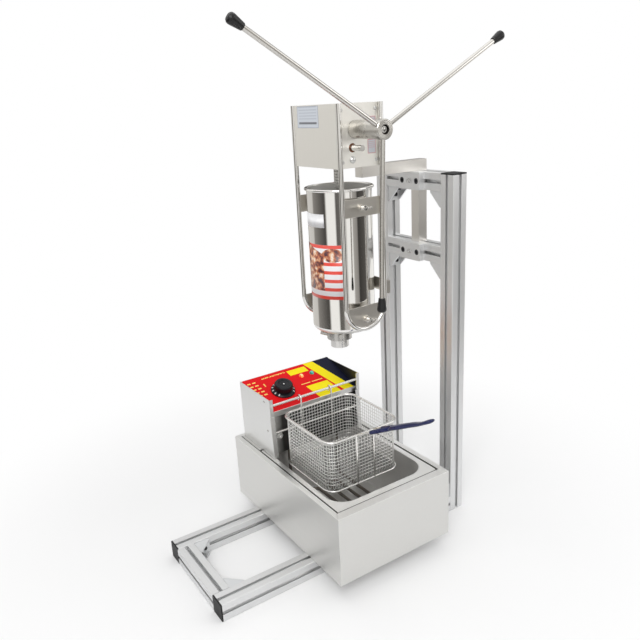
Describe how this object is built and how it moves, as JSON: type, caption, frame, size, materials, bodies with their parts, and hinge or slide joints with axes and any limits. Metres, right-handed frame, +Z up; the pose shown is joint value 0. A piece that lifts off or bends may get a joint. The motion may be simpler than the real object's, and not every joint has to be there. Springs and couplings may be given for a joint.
{
  "type": "churro maker",
  "caption": "Churro maker: profile-framed working stand, hanging rack-driven dough extruder with capstan levers, and an electric deep fryer with basket.",
  "frame": {"origin": "on the floor, at the middle of the stand's base in both directions", "axes": "+X along the base rails towards the uprights, +Y across the stand away from the levers, +Z up"},
  "size_m": [0.733, 0.5653, 1.1301],
  "materials": {
    "aluminium_profile": "satin anodised",
    "black_plastic": "moulded, matt",
    "black_steel": "blackened steel",
    "zinc_steel": "zinc plated",
    "bright_steel": "polished stainless",
    "satin_steel": "brushed stainless",
    "gear_steel": "machined, oiled",
    "bronze": "sintered bronze",
    "white_nylon": "machined nylon",
    "seal_rubber": "silicone",
    "red_panel": "printed film, gloss",
    "amber_lens": "moulded lens",
    "blue_grip": "dipped plastic, gloss",
    "dark_tube": "heat-tinted sheath"
  },
  "bodies": {
    "stand": {"base_rail_near": "aluminium_profile", "base_rail_far": "aluminium_profile", "cross_rail_front": "aluminium_profile", "cross_rail_rear": "aluminium_profile", "upright_near": "aluminium_profile", "upright_far": "aluminium_profile", "beam_upper": "aluminium_profile", "beam_lower": "aluminium_profile", "end_caps": "black_plastic", "corner_brackets": "aluminium_profile", "bracket_screws": "black_steel", "slot_nuts": "zinc_steel", "clamp_blocks": "aluminium_profile", "clamp_screws": "black_steel", "post_set_screws": "zinc_steel"},
    "extruder": {"support_arm": "satin_steel", "support_post": "satin_steel", "mount_bracket": "satin_steel", "gear_housing": "satin_steel", "side_plates": "satin_steel", "gear_plate": "gear_steel", "housing_screws": "zinc_steel", "shaft_bearings": "bronze", "rack_guides": "white_nylon", "rod_loop_near": "bright_steel", "rod_loop_far": "bright_steel", "side_straps": "satin_steel", "bend_plates": "satin_steel", "rear_strap": "satin_steel", "hopper": "bright_steel", "nozzle": "bright_steel"},
    "clamp_upper_near": {"wing_upper_near": "bright_steel"},
    "clamp_upper_far": {"wing_upper_far": "bright_steel"},
    "clamp_lower_near": {"wing_lower_near": "bright_steel"},
    "clamp_lower_far": {"wing_lower_far": "bright_steel"},
    "union_nut": {"nozzle_nut": "bright_steel"},
    "plunger": {"piston": "gear_steel", "piston_seal": "seal_rubber", "rack": "gear_steel"},
    "crank": {"crank_shaft": "bright_steel", "lever_hub": "bright_steel", "lever_rods": "bright_steel", "lever_knobs": "black_plastic"},
    "spindle": {"spindle_shaft": "bright_steel", "spindle_gear": "gear_steel", "rack_pinion": "gear_steel"},
    "fryer": {"fryer_body": "satin_steel", "fryer_feet": "black_plastic", "pan": "satin_steel"},
    "head": {"head_shell": "satin_steel", "head_cheeks": "satin_steel", "control_panel": "red_panel", "panel_lamps": "amber_lens", "head_fittings": "satin_steel", "hanging_bar": "bright_steel", "heating_element": "dark_tube"},
    "thermostat": {"thermostat_knob": "black_plastic"},
    "basket": {"basket_frame": "bright_steel", "basket_mesh": "bright_steel", "handle_grip": "blue_grip"}
  },
  "joints": [
    {"name": "extruder_height", "type": "slide", "parent": "stand", "child": "extruder", "axis": [0, 0, 1], "range_m": [0, 0.03]},
    {"name": "crank_turn", "type": "hinge", "parent": "extruder", "child": "crank", "pos_m": [0.08043, 0, 0.935], "axis": [0, 1, 0], "range_deg": [0, 3430]},
    {"name": "spindle_turn", "type": "hinge", "parent": "extruder", "child": "spindle", "pos_m": [0.072, 0, 0.9], "axis": [0, -1, 0], "range_deg": [0, 1413]},
    {"name": "plunger_travel", "type": "slide", "parent": "extruder", "child": "plunger", "axis": [0, 0, 1], "range_m": [0, 0.296]},
    {"name": "nut_turn", "type": "hinge", "parent": "extruder", "child": "union_nut", "pos_m": [0.074, 0, 0.4898], "axis": [0, 0, 1], "range_deg": [-90, 540]},
    {"name": "fryer_position", "type": "slide", "parent": "stand", "child": "fryer", "axis": [1, 0, 0], "range_m": [-0.2, 0.06]},
    {"name": "head_lift", "type": "slide", "parent": "fryer", "child": "head", "axis": [0, 0, 1], "range_m": [0, 0.08]},
    {"name": "thermostat_turn", "type": "hinge", "parent": "head", "child": "thermostat", "pos_m": [-0.01, 0.1316, 0.32747], "axis": [0, -0.3026, 0.9531], "range_deg": [-270, 0]},
    {"name": "basket_lift", "type": "slide", "parent": "head", "child": "basket", "axis": [0, 0, 1], "range_m": [0, 0.05]},
    {"name": "clamp_upper_near_turn", "type": "hinge", "parent": "extruder", "child": "clamp_upper_near", "pos_m": [0.089, -0.083, 0.7798], "axis": [0, -1, 0], "continuous": true},
    {"name": "clamp_upper_far_turn", "type": "hinge", "parent": "extruder", "child": "clamp_upper_far", "pos_m": [0.089, 0.083, 0.7798], "axis": [0, 1, 0], "continuous": true},
    {"name": "clamp_lower_near_turn", "type": "hinge", "parent": "extruder", "child": "clamp_lower_near", "pos_m": [0.089, -0.089, 0.5413], "axis": [0, -1, 0], "continuous": true},
    {"name": "clamp_lower_far_turn", "type": "hinge", "parent": "extruder", "child": "clamp_lower_far", "pos_m": [0.089, 0.089, 0.5413], "axis": [0, 1, 0], "continuous": true}
  ],
  "couplings": [
    {"joint": "spindle_turn", "follows": "crank_turn", "ratio": 0.41176},
    {"joint": "plunger_travel", "follows": "crank_turn", "m_per_rad": 0.0049412}
  ]
}
